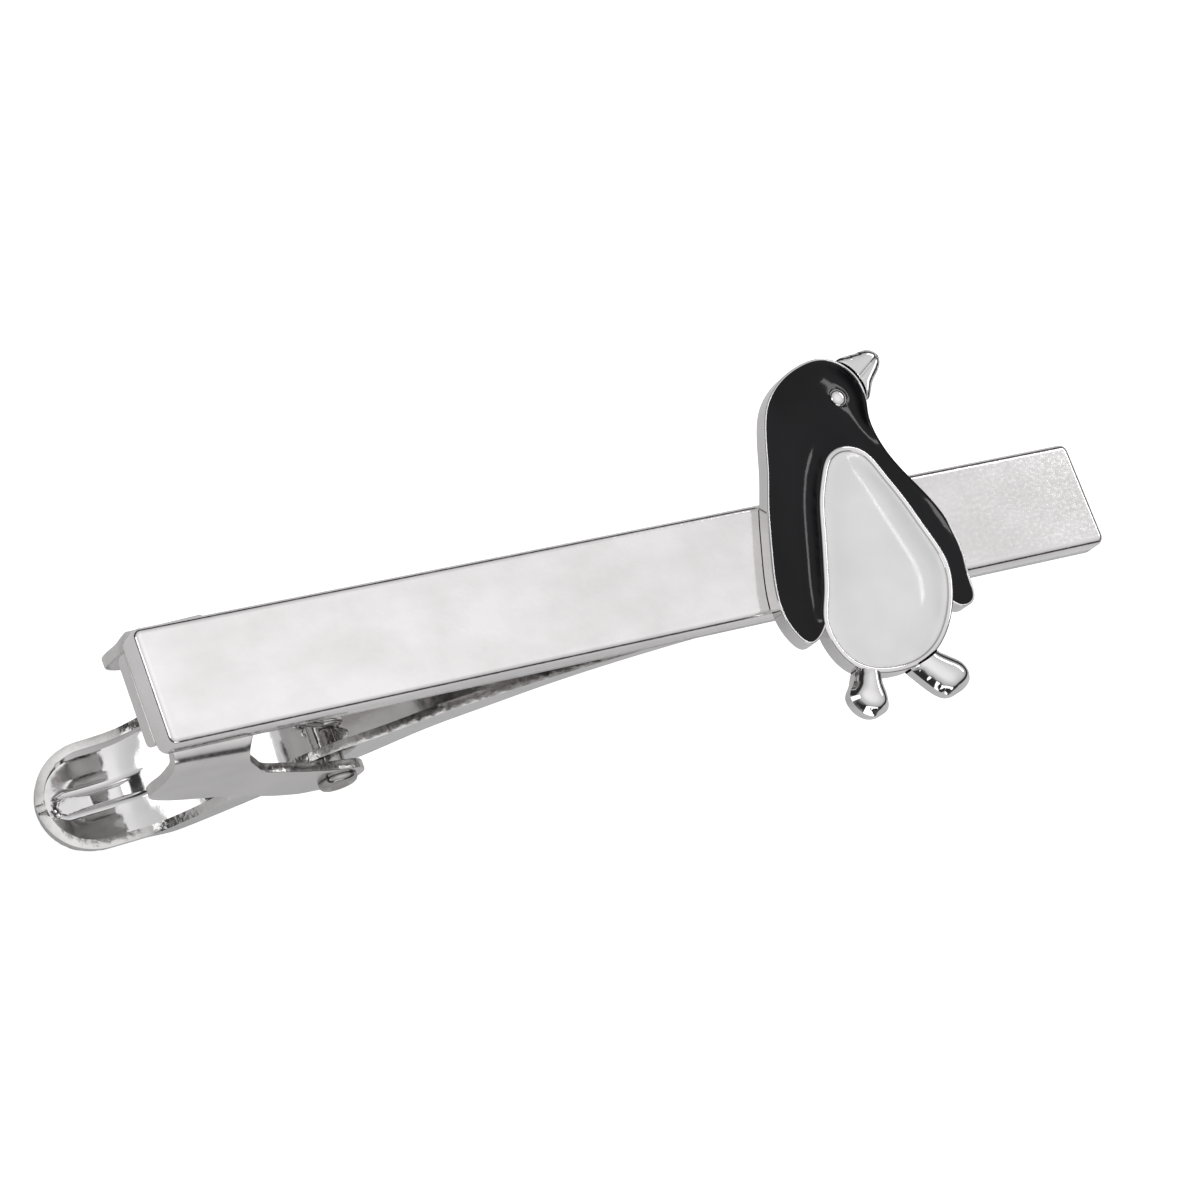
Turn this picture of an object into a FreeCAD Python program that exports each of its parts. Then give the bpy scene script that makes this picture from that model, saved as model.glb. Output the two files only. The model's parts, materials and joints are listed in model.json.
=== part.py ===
import FreeCAD, Part
import math
import os

# Sprung tie bar with an enamelled penguin figure.
# Origin: centre of the bar's back face.  +X runs along the bar away from the
# hinge, +Y runs across the bar towards the figure's head, +Z leaves the front.
# All lengths are millimetres.

V = FreeCAD.Vector

# ---- front bar ----
BAR_LENGTH = 60.0
BAR_WIDTH = 6.2
BAR_THICKNESS = 1.6
BAR_EDGE_RADIUS = 0.3
BAR_CORNER_RADIUS = 0.35

# ---- soldered joints ----
SOLDER = 0.06

# ---- hinge bracket, stamped from sheet ----
SHEET = 0.55
BRACKET_TOP = -SOLDER
BASE_LEFT = -BAR_LENGTH / 2
BASE_RIGHT = -22.6
TONGUE_LENGTH = 0.8
TONGUE_HALF_WIDTH = 2.4
LIP_DEPTH = 0.95
LIP_CORNER_RADIUS = 0.4
WING_Y_LEFT = 3.62
WING_Y_EAR = 4.3
WING_EAR_START = -20.5
WING_Y_LIMIT = 6.0
WING_REACH = 12.0
SHOULDER_RADIUS = 1.2
SHOULDER_START = -29.2
SHOULDER_LENGTH = 4.0
SHOULDER_Y = WING_Y_LEFT - SHOULDER_RADIUS
EAR_RADIUS = 1.6
# side outline of a wing: x, z
WING_SIDE = [
    (-29.2, -0.96), (-28.7, -1.75), (-28.9, -2.6), (-29.45, -3.35), (-29.6, -4.0),
    (-29.2, -4.35), (-27.2, -5.1), (-24.0, -6.5), (-21.5, -7.9), (-19.4, -8.85),
    (-17.6, -9.15), (-16.8, -9.2), (-16.8, -6.0), (-17.8, -6.0), (-20.0, -5.25),
    (-22.2, -4.45), (-22.9, -3.3), (-23.6, -2.2), (-24.4, -1.4), (-25.3, -0.96),
]

# ---- pivot ----
PIVOT_X = -16.8
PIVOT_Z = -7.6
RIVET_RADIUS = 0.75
RIVET_HEAD_RADIUS = 1.08
RIVET_HEAD_THICKNESS = 0.42
RIVET_DISH_RADIUS = 0.5
RIVET_DISH_DEPTH = 0.14
RIVET_EDGE_RADIUS = 0.18
PIVOT_CLEARANCE = 0.06

# ---- clip lever, stamped channel ----
LEVER_SHEET = 0.5
LEVER_TIP_X = -28.9
LEVER_JAW_X = 19.0
# stations along the lever: x, half width, flange edge z, web underside z
LEVER_STATIONS = [
    (-28.9, 3.00, -16.75, -18.10),
    (-26.0, 3.00, -15.90, -17.65),
    (-24.0, 3.05, -15.20, -17.00),
    (-22.5, 3.15, -13.80, -16.00),
    (-21.3, 3.22, -11.60, -14.80),
    (-20.0, 3.30, -9.00, -13.20),
    (-18.5, 3.38, -6.50, -11.40),
    (-16.8, 3.40, -5.20, -9.90),
    (-14.5, 3.32, -4.40, -8.40),
    (-12.0, 3.15, -3.60, -6.80),
    (-9.0, 3.02, -2.85, -5.45),
    (-6.0, 2.90, -2.25, -4.25),
    (-2.0, 2.75, -1.75, -3.15),
    (2.0, 2.60, -1.40, -2.60),
    (8.0, 2.40, -1.00, -2.10),
    (14.0, 2.20, -0.60, -1.75),
    (19.0, 2.00, -0.12, -1.35),
]
LEVER_PLAN_START = -25.8
LEVER_PLAN_Z = -25.0
LEVER_PLAN_HEIGHT = 30.0
# pressed groove along the middle of the thumb end
GROOVE_HALF_WIDTH = 0.65
GROOVE_DEPTH = 0.2
GROOVE_STATIONS = 3
TOOTH_PITCH = 0.8
TOOTH_DEPTH = 0.45
TOOTH_COUNT = 4
TOOTH_FIRST = 0.7
TOOTH_STEP = 0.08
TOOTH_MOUTH = 0.2
TOOTH_ROOT = -0.25

# ---- torsion spring ----
WIRE_RADIUS = 0.22
COIL_RADIUS = 1.06
COIL_TURNS = 4
COIL_PITCH = 0.52
FIXED_LEG_END = (-25.3, -0.93)
MOVING_LEG_END = (-23.4, -15.65)
LEG_WRAP = 112.0
LEG_OFFSET = 2.15 * WIRE_RADIUS

# ---- penguin figure ----
FIGURE_BACK = BAR_THICKNESS + SOLDER
FIGURE_RIM = FIGURE_BACK + 0.90
FIGURE_TOP = FIGURE_RIM + 2.0
CELL_FLOOR = FIGURE_BACK + 0.42
BLACK_EDGE = FIGURE_RIM - 0.05
WHITE_EDGE = FIGURE_RIM - 0.05
RIM_WIDTH = 0.16
BELLY_RIM_WIDTH = 0.36
BELLY_RIM_RISE = 0.05
BEAK_RISE = 0.1
EYE_RADIUS = 0.56
EYE_CENTRE = (14.75, 7.70)
# shallow domes: centre x, centre y, half length, half width, height, turn in degrees
DOME_SINK = 0.35
FOOT_SINK = 0.1
BELLY_DOME = (13.1, -1.7, 6.2, 7.8, 1.10, 18)
LEFT_FOOT_DOME = (9.85, -8.95, 1.0, 0.8, 0.45, -20)
RIGHT_FOOT_DOME = (15.35, -8.6, 1.15, 0.85, 0.45, -30)
# plain box that holds the whole figure: left, bottom, side
FIGURE_LEFT = 4.0
FIGURE_BOTTOM = -12.0
FIGURE_SIDE = 20.0
# solder film under the figure, kept clear of the bar's rounded edges
FILM_LEFT = 5.0
FILM_LENGTH = 16.0
FILM_MARGIN = BAR_EDGE_RADIUS + 0.05
FILM_INSET = 0.15

# outline of head, back and both wings, anticlockwise from the right wing tip
BODY_OUTLINE = [
    (18.72, -4.95), (19.05, -3.60), (19.28, -1.80), (19.02, -0.25), (18.42, 1.25),
    (17.72, 2.50), (16.98, 3.95), (16.62, 5.20), (16.62, 6.60), (17.00, 7.90),
    (16.75, 9.10), (15.90, 9.95), (14.80, 10.28), (13.60, 10.15), (12.30, 9.70),
    (11.05, 8.92), (10.15, 7.95), (9.58, 6.85), (9.16, 5.75), (8.75, 4.60),
    (7.98, 2.80), (7.12, 0.40), (6.48, -1.65), (6.25, -3.30), (6.55, -4.60),
    (7.25, -5.38), (8.05, -5.15), (9.20, -4.00), (12.80, -2.80), (16.60, -4.00),
    (17.85, -5.20),
]
# outer edge of the rim round the belly
BELLY_OUTLINE = [
    (17.50, -4.40), (17.98, -2.60), (17.50, -0.50), (16.86, 1.50), (16.15, 3.25),
    (15.45, 4.55), (14.20, 5.08), (12.95, 4.72), (12.05, 3.65), (11.38, 2.50),
    (10.58, 0.45), (9.92, -1.30), (9.25, -2.90), (8.62, -4.30), (8.70, -5.80),
    (9.42, -7.05), (10.65, -7.72), (12.10, -7.93), (13.65, -7.78), (15.05, -7.22),
    (16.60, -5.85),
]
BEAK_OUTLINE = [
    (17.02, 7.45), (17.75, 8.35), (18.72, 9.35), (18.85, 9.85), (18.35, 10.28),
    (17.40, 10.22), (16.00, 10.02), (15.00, 9.00), (15.80, 7.80),
]
LEFT_FOOT_OUTLINE = [
    (10.98, -9.10), (10.80, -9.62), (9.70, -9.92), (8.85, -9.30), (8.72, -8.45),
    (9.20, -7.90), (9.62, -7.30), (10.40, -7.00), (11.15, -7.40), (11.05, -8.10),
]
RIGHT_FOOT_OUTLINE = [
    (16.72, -8.95), (15.95, -9.62), (14.85, -9.72), (14.05, -9.10), (13.40, -8.30),
    (13.00, -7.50), (13.80, -7.00), (14.90, -7.00), (15.60, -7.45), (16.48, -8.10),
]


def closed_face(points, z):
    """Face at height z bounded by a smooth closed curve through the points."""
    curve = Part.BSplineCurve()
    curve.interpolate([V(x, y, z) for x, y in points], PeriodicFlag=True)
    return Part.Face(Part.Wire(curve.toShape()))


def prism(points, z_low, z_high):
    """Upright solid with a smooth closed outline."""
    return closed_face(points, z_low).extrude(V(0, 0, z_high - z_low))


def moved_inward(points, distance):
    """Move every outline point inward, square to its neighbours' chord."""
    result = []
    count = len(points)
    for index, (x, y) in enumerate(points):
        before = points[index - 1]
        after = points[(index + 1) % count]
        chord_x = after[0] - before[0]
        chord_y = after[1] - before[1]
        length = math.hypot(chord_x, chord_y)
        inward_x = -chord_y / length
        inward_y = chord_x / length
        result.append((x + inward_x * distance, y + inward_y * distance))
    return result


def dome(values, base_z):
    """Ellipsoid on a base height, turned about Z by its last value in degrees."""
    centre_x, centre_y, half_x, half_y, height, tilt = values
    scale = FreeCAD.Matrix()
    scale.scale(half_x, half_y, height)
    shape = Part.makeSphere(1.0).transformGeometry(scale)
    shape.rotate(V(0, 0, 0), V(0, 0, 1), tilt)
    shape.translate(V(centre_x, centre_y, base_z))
    return shape


def side_face(points):
    """Face in the XZ plane through straight segments."""
    vectors = [V(x, 0, z) for x, z in points]
    return Part.Face(Part.makePolygon(vectors + vectors[:1]))


def extruded_across(face, y_low, y_high):
    """Extrude a face of the XZ plane across the bar."""
    placed = face.copy()
    placed.translate(V(0, y_low, 0))
    return placed.extrude(V(0, y_high - y_low, 0))


def across_cylinder(radius, y_low, y_high, x, z):
    return Part.makeCylinder(radius, y_high - y_low, V(x, y_low, z), V(0, 1, 0))


def make_front_bar():
    slab = Part.makeBox(
        BAR_LENGTH, BAR_WIDTH, BAR_THICKNESS,
        V(-BAR_LENGTH / 2, -BAR_WIDTH / 2, 0),
    )
    upright = [
        edge for edge in slab.Edges
        if abs(edge.Vertexes[0].Z - edge.Vertexes[1].Z) > BAR_THICKNESS / 2
    ]
    slab = slab.makeFillet(BAR_CORNER_RADIUS, upright)
    front = [
        edge for edge in slab.Edges
        if min(vertex.Z for vertex in edge.Vertexes) > BAR_THICKNESS - 0.01
    ]
    return slab.makeFillet(BAR_EDGE_RADIUS, front)


def wing_plan(offset):
    """Plan line of one wing's outer face, moved inward by offset."""
    return [
        (BASE_LEFT + 0.2, WING_Y_LEFT - offset),
        (-26.0, WING_Y_LEFT + 0.16 - offset),
        (-23.0, WING_Y_EAR - 0.25 - offset),
        (WING_EAR_START, WING_Y_EAR - offset),
        (PIVOT_X + EAR_RADIUS + 0.5, WING_Y_EAR - offset),
    ]


def make_wing():
    """Wing on the +Y side: a band in plan, cut to its side outline."""
    outer = wing_plan(0.0)
    inner = wing_plan(SHEET)
    loop = [V(x, y, 0) for x, y in outer + inner[::-1]]
    band = Part.Face(Part.makePolygon(loop + loop[:1])).extrude(V(0, 0, -WING_REACH))
    blank = extruded_across(side_face(WING_SIDE), 0, WING_Y_LIMIT)
    ear = across_cylinder(EAR_RADIUS, 0, WING_Y_LIMIT, PIVOT_X, PIVOT_Z)
    return band.common(blank.fuse(ear))


def make_shoulder():
    """Quarter bend joining the flat base to the wing on the +Y side."""
    start = V(SHOULDER_START, SHOULDER_Y, BRACKET_TOP - SHOULDER_RADIUS)
    along = V(1, 0, 0)
    outer = Part.makeCylinder(SHOULDER_RADIUS, SHOULDER_LENGTH, start, along)
    inner = Part.makeCylinder(SHOULDER_RADIUS - SHEET, SHOULDER_LENGTH, start, along)
    quarter = Part.makeBox(SHOULDER_LENGTH, SHOULDER_RADIUS, SHOULDER_RADIUS, start)
    return outer.cut(inner).common(quarter)


def make_lip():
    """Short end lip that covers the tongue's end, with rounded corners."""
    lip = Part.makeBox(
        SHEET, 2 * TONGUE_HALF_WIDTH, LIP_DEPTH,
        V(BASE_LEFT, -TONGUE_HALF_WIDTH, BRACKET_TOP - LIP_DEPTH),
    )
    corners = [
        edge for edge in lip.Edges
        if abs(edge.Vertexes[0].X - edge.Vertexes[1].X) > SHEET / 2
        and edge.Vertexes[0].Z < BRACKET_TOP - LIP_DEPTH / 2
    ]
    return lip.makeFillet(LIP_CORNER_RADIUS, corners)


def make_hinge_bracket():
    sheet_bottom = BRACKET_TOP - SHEET
    base = Part.makeBox(
        BASE_RIGHT - BASE_LEFT - TONGUE_LENGTH, 2 * SHOULDER_Y, SHEET,
        V(BASE_LEFT + TONGUE_LENGTH, -SHOULDER_Y, sheet_bottom),
    )
    tongue = Part.makeBox(
        TONGUE_LENGTH, 2 * TONGUE_HALF_WIDTH, SHEET,
        V(BASE_LEFT, -TONGUE_HALF_WIDTH, sheet_bottom),
    )
    side = make_shoulder().fuse(make_wing())
    other_side = side.mirror(V(0, 0, 0), V(0, 1, 0))
    bracket = base.fuse([tongue, make_lip(), side, other_side])
    hole = across_cylinder(RIVET_RADIUS, -WING_Y_LIMIT, WING_Y_LIMIT, PIVOT_X, PIVOT_Z)
    return bracket.cut(hole).removeSplitter()


def make_bracket_solder():
    """Thin solder film between the bar's back and the bracket's base."""
    margin = SOLDER
    return Part.makeBox(
        BASE_RIGHT - BASE_LEFT - 2 * margin, 2 * SHOULDER_Y, SOLDER,
        V(BASE_LEFT + margin, -SHOULDER_Y, BRACKET_TOP),
    )


def make_pivot_rivet():
    grip = WING_Y_EAR
    rivet = across_cylinder(RIVET_RADIUS, -grip, grip, PIVOT_X, PIVOT_Z)
    for side in (-1, 1):
        inner_y = side * grip
        outer_y = side * (grip + RIVET_HEAD_THICKNESS)
        head = across_cylinder(
            RIVET_HEAD_RADIUS, min(inner_y, outer_y), max(inner_y, outer_y),
            PIVOT_X, PIVOT_Z,
        )
        rim = [
            edge for edge in head.Edges
            if edge.Closed and abs(edge.CenterOfMass.y - outer_y) < 0.01
        ]
        head = head.makeFillet(RIVET_EDGE_RADIUS, rim)
        dish_y = side * (grip + RIVET_HEAD_THICKNESS - RIVET_DISH_DEPTH)
        dish = across_cylinder(
            RIVET_DISH_RADIUS, min(dish_y, outer_y), max(dish_y, outer_y),
            PIVOT_X, PIVOT_Z,
        )
        rivet = rivet.fuse(head.cut(dish))
    return rivet.removeSplitter()


def spline_edge(points):
    curve = Part.BSplineCurve()
    curve.interpolate([V(x, 0, z) for x, z in points])
    return curve.toShape()


def lever_side_block(lift):
    """Side region between the flange edge and the web, web raised by lift."""
    clear_above = 3.0 if lift > 0 else 0.0
    upper = [(x, edge_z + clear_above) for x, half, edge_z, web_z in LEVER_STATIONS]
    lower = [(x, web_z + lift) for x, half, edge_z, web_z in LEVER_STATIONS]
    top_edge = spline_edge(upper)
    web_edge = spline_edge(lower)
    left = Part.makeLine(V(lower[0][0], 0, lower[0][1]), V(upper[0][0], 0, upper[0][1]))
    right = Part.makeLine(V(upper[-1][0], 0, upper[-1][1]), V(lower[-1][0], 0, lower[-1][1]))
    face = Part.Face(Part.Wire(Part.sortEdges([top_edge, right, web_edge, left])[0]))
    return extruded_across(face, -WING_Y_LIMIT, WING_Y_LIMIT)


def lever_plan_block(inset):
    """Plan outline of the lever with its round thumb end, moved in by inset."""
    thumb_radius = LEVER_STATIONS[1][1]
    round_radius = thumb_radius - inset
    centre_x = LEVER_TIP_X + thumb_radius
    rows = [
        (x, half - inset) for x, half, edge_z, web_z in LEVER_STATIONS
        if x > LEVER_PLAN_START
    ]
    rows[-1] = (LEVER_JAW_X - inset, rows[-1][1])
    upper = [V(centre_x, round_radius, LEVER_PLAN_Z)]
    upper += [V(x, y, LEVER_PLAN_Z) for x, y in rows]
    lower = [V(point.x, -point.y, point.z) for point in upper]
    tip = V(centre_x - round_radius, 0, LEVER_PLAN_Z)
    thumb = Part.Arc(upper[0], tip, lower[0]).toShape()
    upper_curve = Part.BSplineCurve()
    upper_curve.interpolate(upper)
    lower_curve = Part.BSplineCurve()
    lower_curve.interpolate(lower)
    end = Part.makeLine(upper[-1], lower[-1])
    edges = [thumb, upper_curve.toShape(), end, lower_curve.toShape()]
    wire = Part.Wire(Part.sortEdges(edges)[0])
    return Part.Face(wire).extrude(V(0, 0, LEVER_PLAN_HEIGHT))


def jaw_notch(index):
    """Notch across both flanges between two teeth of the jaw."""
    x = LEVER_JAW_X - TOOTH_FIRST - index * TOOTH_PITCH
    half = TOOTH_PITCH * 0.4
    root = TOOTH_ROOT - TOOTH_DEPTH - index * TOOTH_STEP
    outline = [(x - half, TOOTH_MOUTH), (x + half, TOOTH_MOUTH), (x, root)]
    return extruded_across(side_face(outline), -WING_Y_LIMIT, WING_Y_LIMIT)


def thumb_groove():
    """Groove along the web's inner side at the thumb end."""
    stations = LEVER_STATIONS[:GROOVE_STATIONS]
    floor = [(x + LEVER_SHEET, web_z + LEVER_SHEET) for x, half, edge_z, web_z in stations]
    lower = [(x, z - GROOVE_DEPTH) for x, z in floor]
    upper = [(x, z + GROOVE_DEPTH) for x, z in floor]
    return extruded_across(
        side_face(lower + upper[::-1]), -GROOVE_HALF_WIDTH, GROOVE_HALF_WIDTH
    )


def make_clip_lever():
    outer = lever_side_block(0.0).common(lever_plan_block(0.0))
    inner = lever_side_block(LEVER_SHEET).common(lever_plan_block(LEVER_SHEET))
    bore = across_cylinder(
        RIVET_RADIUS + PIVOT_CLEARANCE, -WING_Y_LIMIT, WING_Y_LIMIT, PIVOT_X, PIVOT_Z
    )
    lever = outer.cut(inner).cut(bore).cut(thumb_groove())
    for index in range(TOOTH_COUNT):
        lever = lever.cut(jaw_notch(index))
    return lever.removeSplitter()


def make_torsion_spring():
    height = COIL_TURNS * COIL_PITCH
    helix = Part.makeHelix(COIL_PITCH, height, COIL_RADIUS)
    section = Part.Wire(Part.makeCircle(WIRE_RADIUS, V(COIL_RADIUS, 0, 0), V(0, 1, 0)))
    coil = Part.Wire(helix).makePipeShell([section], True, True)
    # lay the coil's axis along Y and centre it on the pivot
    coil.rotate(V(0, 0, 0), V(1, 0, 0), -90)
    coil.translate(V(PIVOT_X, -height / 2, PIVOT_Z))
    start_x = PIVOT_X + COIL_RADIUS
    fixed_leg = spring_leg(V(start_x, -height / 2, PIVOT_Z), FIXED_LEG_END, -1)
    moving_leg = spring_leg(V(start_x, height / 2, PIVOT_Z), MOVING_LEG_END, 1)
    return coil.fuse([fixed_leg, moving_leg]).removeSplitter()


def spring_leg(start, end, side):
    """Short crank off the coil, an arc round it, then a straight leg to its seat."""
    turn = 1 if end[1] > PIVOT_Z else -1
    angle = math.radians(LEG_WRAP) * turn
    y = start.y + side * LEG_OFFSET
    middle = V(
        PIVOT_X + COIL_RADIUS * math.cos(angle / 2), y,
        PIVOT_Z + COIL_RADIUS * math.sin(angle / 2),
    )
    leave = V(
        PIVOT_X + COIL_RADIUS * math.cos(angle), y,
        PIVOT_Z + COIL_RADIUS * math.sin(angle),
    )
    bend = V(start.x, y, start.z)
    arc = Part.Arc(bend, middle, leave).toShape()
    crank = Part.makeCylinder(WIRE_RADIUS, abs(y - start.y), start, V(0, side, 0))
    section = Part.Wire(Part.makeCircle(WIRE_RADIUS, bend, V(0, 0, 1)))
    sweep = Part.Wire([arc]).makePipeShell([section], True, True)
    direction = V(end[0] - leave.x, 0, end[1] - leave.z)
    rod = Part.makeCylinder(WIRE_RADIUS, direction.Length, leave, direction)
    joints = [Part.makeSphere(WIRE_RADIUS, point) for point in (start, bend, leave)]
    return sweep.fuse([rod, crank] + joints)


def belly_block(inset, z_low, z_high):
    return prism(moved_inward(BELLY_OUTLINE, inset), z_low, z_high)


def eye_cylinder(z_low, z_high):
    foot = V(EYE_CENTRE[0], EYE_CENTRE[1], z_low)
    return Part.makeCylinder(EYE_RADIUS, z_high - z_low, foot)


def make_black_enamel():
    cell = prism(moved_inward(BODY_OUTLINE, RIM_WIDTH), CELL_FLOOR, BLACK_EDGE)
    cell = cell.cut(belly_block(0.0, FIGURE_BACK, FIGURE_TOP))
    return cell.cut(eye_cylinder(FIGURE_BACK, FIGURE_TOP))


def make_white_enamel():
    cell = belly_block(BELLY_RIM_WIDTH, CELL_FLOOR, FIGURE_TOP)
    block = Part.makeBox(
        FIGURE_SIDE, FIGURE_SIDE, WHITE_EDGE - CELL_FLOOR,
        V(FIGURE_LEFT, FIGURE_BOTTOM, CELL_FLOOR),
    )
    return cell.common(block.fuse(dome(BELLY_DOME, WHITE_EDGE - DOME_SINK))).removeSplitter()


def make_eye():
    """Round bead on a post that stands on the cell floor."""
    bead = Part.makeSphere(EYE_RADIUS, V(EYE_CENTRE[0], EYE_CENTRE[1], BLACK_EDGE))
    cap = bead.common(eye_cylinder(BLACK_EDGE, FIGURE_TOP))
    return eye_cylinder(CELL_FLOOR, BLACK_EDGE).fuse(cap)


def make_penguin_casting(black):
    casting = prism(BODY_OUTLINE, FIGURE_BACK, FIGURE_RIM)
    casting = casting.fuse([
        belly_block(0.0, FIGURE_BACK, FIGURE_RIM + BELLY_RIM_RISE),
        prism(BEAK_OUTLINE, FIGURE_BACK, FIGURE_RIM + BEAK_RISE),
        prism(LEFT_FOOT_OUTLINE, FIGURE_BACK, FIGURE_RIM),
        prism(RIGHT_FOOT_OUTLINE, FIGURE_BACK, FIGURE_RIM),
        dome(LEFT_FOOT_DOME, FIGURE_RIM - FOOT_SINK),
        dome(RIGHT_FOOT_DOME, FIGURE_RIM - FOOT_SINK),
    ])
    white_cell = belly_block(BELLY_RIM_WIDTH, CELL_FLOOR, FIGURE_TOP)
    above_black = prism(moved_inward(BODY_OUTLINE, RIM_WIDTH), BLACK_EDGE, FIGURE_TOP)
    above_black = above_black.cut(belly_block(0.0, FIGURE_BACK, FIGURE_TOP))
    casting = casting.cut([black, white_cell, above_black])
    return casting.fuse(make_eye()).removeSplitter()


def make_figure_solder():
    """Solder film where the figure's flat back meets the bar."""
    patch = prism(moved_inward(BODY_OUTLINE, FILM_INSET), BAR_THICKNESS, FIGURE_BACK)
    middle = belly_block(FILM_INSET, BAR_THICKNESS, FIGURE_BACK)
    strip = Part.makeBox(
        FILM_LENGTH, BAR_WIDTH - 2 * FILM_MARGIN, SOLDER,
        V(FILM_LEFT, FILM_MARGIN - BAR_WIDTH / 2, BAR_THICKNESS),
    )
    return patch.fuse(middle).common(strip).removeSplitter()


def main():
    os.makedirs("parts", exist_ok=True)
    black = make_black_enamel()
    nodes = {
        "front_bar": make_front_bar(),
        "bracket_solder": make_bracket_solder(),
        "hinge_bracket": make_hinge_bracket(),
        "pivot_rivet": make_pivot_rivet(),
        "clip_lever": make_clip_lever(),
        "torsion_spring": make_torsion_spring(),
        "figure_solder": make_figure_solder(),
        "penguin_casting": make_penguin_casting(black),
        "black_enamel": black,
        "white_enamel": make_white_enamel(),
    }
    for name, shape in nodes.items():
        shape.exportStep("parts/" + name + ".step")
        box = shape.BoundBox
        print(
            name, "valid", shape.isValid(), "solids", len(shape.Solids),
            "volume", round(shape.Volume, 3),
            "z", round(box.ZMin, 2), round(box.ZMax, 2),
        )


main()
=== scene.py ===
import bpy
import json
import math
import numpy as np
from mathutils import Matrix, Vector
from mathutils.geometry import delaunay_2d_cdt

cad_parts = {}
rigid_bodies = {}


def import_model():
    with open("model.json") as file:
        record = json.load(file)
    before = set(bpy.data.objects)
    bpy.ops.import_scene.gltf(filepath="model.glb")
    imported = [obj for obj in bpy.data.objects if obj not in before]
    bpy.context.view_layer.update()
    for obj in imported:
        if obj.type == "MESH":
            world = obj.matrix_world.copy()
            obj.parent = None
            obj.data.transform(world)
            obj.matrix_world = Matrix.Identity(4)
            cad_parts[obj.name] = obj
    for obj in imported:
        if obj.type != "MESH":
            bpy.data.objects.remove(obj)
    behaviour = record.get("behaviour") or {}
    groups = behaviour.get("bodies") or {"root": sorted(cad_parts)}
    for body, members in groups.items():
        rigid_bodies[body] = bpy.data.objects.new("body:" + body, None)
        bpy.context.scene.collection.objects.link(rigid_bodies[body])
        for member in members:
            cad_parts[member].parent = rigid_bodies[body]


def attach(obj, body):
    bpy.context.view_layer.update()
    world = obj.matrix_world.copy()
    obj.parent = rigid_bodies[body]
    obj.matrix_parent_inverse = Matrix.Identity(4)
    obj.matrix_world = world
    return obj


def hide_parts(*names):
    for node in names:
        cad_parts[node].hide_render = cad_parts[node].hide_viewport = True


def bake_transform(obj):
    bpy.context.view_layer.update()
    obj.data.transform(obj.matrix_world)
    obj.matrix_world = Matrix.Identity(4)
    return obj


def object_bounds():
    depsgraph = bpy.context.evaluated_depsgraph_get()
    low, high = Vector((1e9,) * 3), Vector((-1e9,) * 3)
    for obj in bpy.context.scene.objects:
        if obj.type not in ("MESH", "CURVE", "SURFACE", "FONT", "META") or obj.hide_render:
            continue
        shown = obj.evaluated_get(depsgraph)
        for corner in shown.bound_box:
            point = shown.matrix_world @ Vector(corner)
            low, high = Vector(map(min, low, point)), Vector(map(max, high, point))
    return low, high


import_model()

# Shapes are written in millimetres in the row frame and scaled once, in make_mesh.
MM = 0.001
cad_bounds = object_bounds()

# ---- sizes shared with the CAD, mm ----
BAR_HALF_X, BAR_HALF_Y, BAR_TOP = 30.0, 3.1, 1.6
BAR_EDGE, BAR_CORNER = 0.42, 0.5
SHEET = 0.55
SOLDER = 0.06
PIVOT = (-16.8, -7.6)
RIVET_RADIUS = 0.75
HEAD_RADIUS, HEAD_THICK = 1.08, 0.42
EAR_Y = 4.3
EAR_RADIUS = 1.6
FIGURE_BACK, FIGURE_RIM, CELL_FLOOR = 1.66, 2.56, 2.08
ENAMEL_EDGE = 2.47
BODY_RIM, BELLY_RIM = 0.16, 0.36
EYE = (14.75, 7.70)
EYE_RADIUS = 0.56

BODY_OUTLINE = [
    (18.72, -4.95), (19.05, -3.60), (19.28, -1.80), (19.02, -0.25), (18.42, 1.25),
    (17.72, 2.50), (16.98, 3.95), (16.62, 5.20), (16.62, 6.60), (17.00, 7.90),
    (16.75, 9.10), (15.90, 9.95), (14.80, 10.28), (13.60, 10.15), (12.30, 9.70),
    (11.05, 8.92), (10.15, 7.95), (9.58, 6.85), (9.16, 5.75), (8.75, 4.60),
    (7.98, 2.80), (7.12, 0.40), (6.48, -1.65), (6.25, -3.30), (6.55, -4.60),
    (7.25, -5.38), (8.05, -5.15), (9.20, -4.00), (12.80, -2.80), (16.60, -4.00),
    (17.85, -5.20),
]
BELLY_OUTLINE = [
    (17.50, -4.40), (17.98, -2.60), (17.50, -0.50), (16.86, 1.50), (16.15, 3.25),
    (15.45, 4.55), (14.20, 5.08), (12.95, 4.72), (12.05, 3.65), (11.38, 2.50),
    (10.58, 0.45), (9.92, -1.30), (9.25, -2.90), (8.62, -4.30), (8.70, -5.80),
    (9.42, -7.05), (10.65, -7.72), (12.10, -7.93), (13.65, -7.78), (15.05, -7.22),
    (16.60, -5.85),
]
BEAK_OUTLINE = [
    (17.02, 7.45), (17.75, 8.35), (18.72, 9.35), (18.85, 9.85), (18.35, 10.28),
    (17.40, 10.22), (16.00, 10.02), (15.00, 9.00), (15.80, 7.80),
]
LEFT_FOOT_OUTLINE = [
    (10.98, -9.10), (10.80, -9.62), (9.70, -9.92), (8.85, -9.30), (8.72, -8.45),
    (9.20, -7.90), (9.62, -7.30), (10.40, -7.00), (11.15, -7.40), (11.05, -8.10),
]
RIGHT_FOOT_OUTLINE = [
    (16.72, -8.95), (15.95, -9.62), (14.85, -9.72), (14.05, -9.10), (13.40, -8.30),
    (13.00, -7.50), (13.80, -7.00), (14.90, -7.00), (15.60, -7.45), (16.48, -8.10),
]
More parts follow.
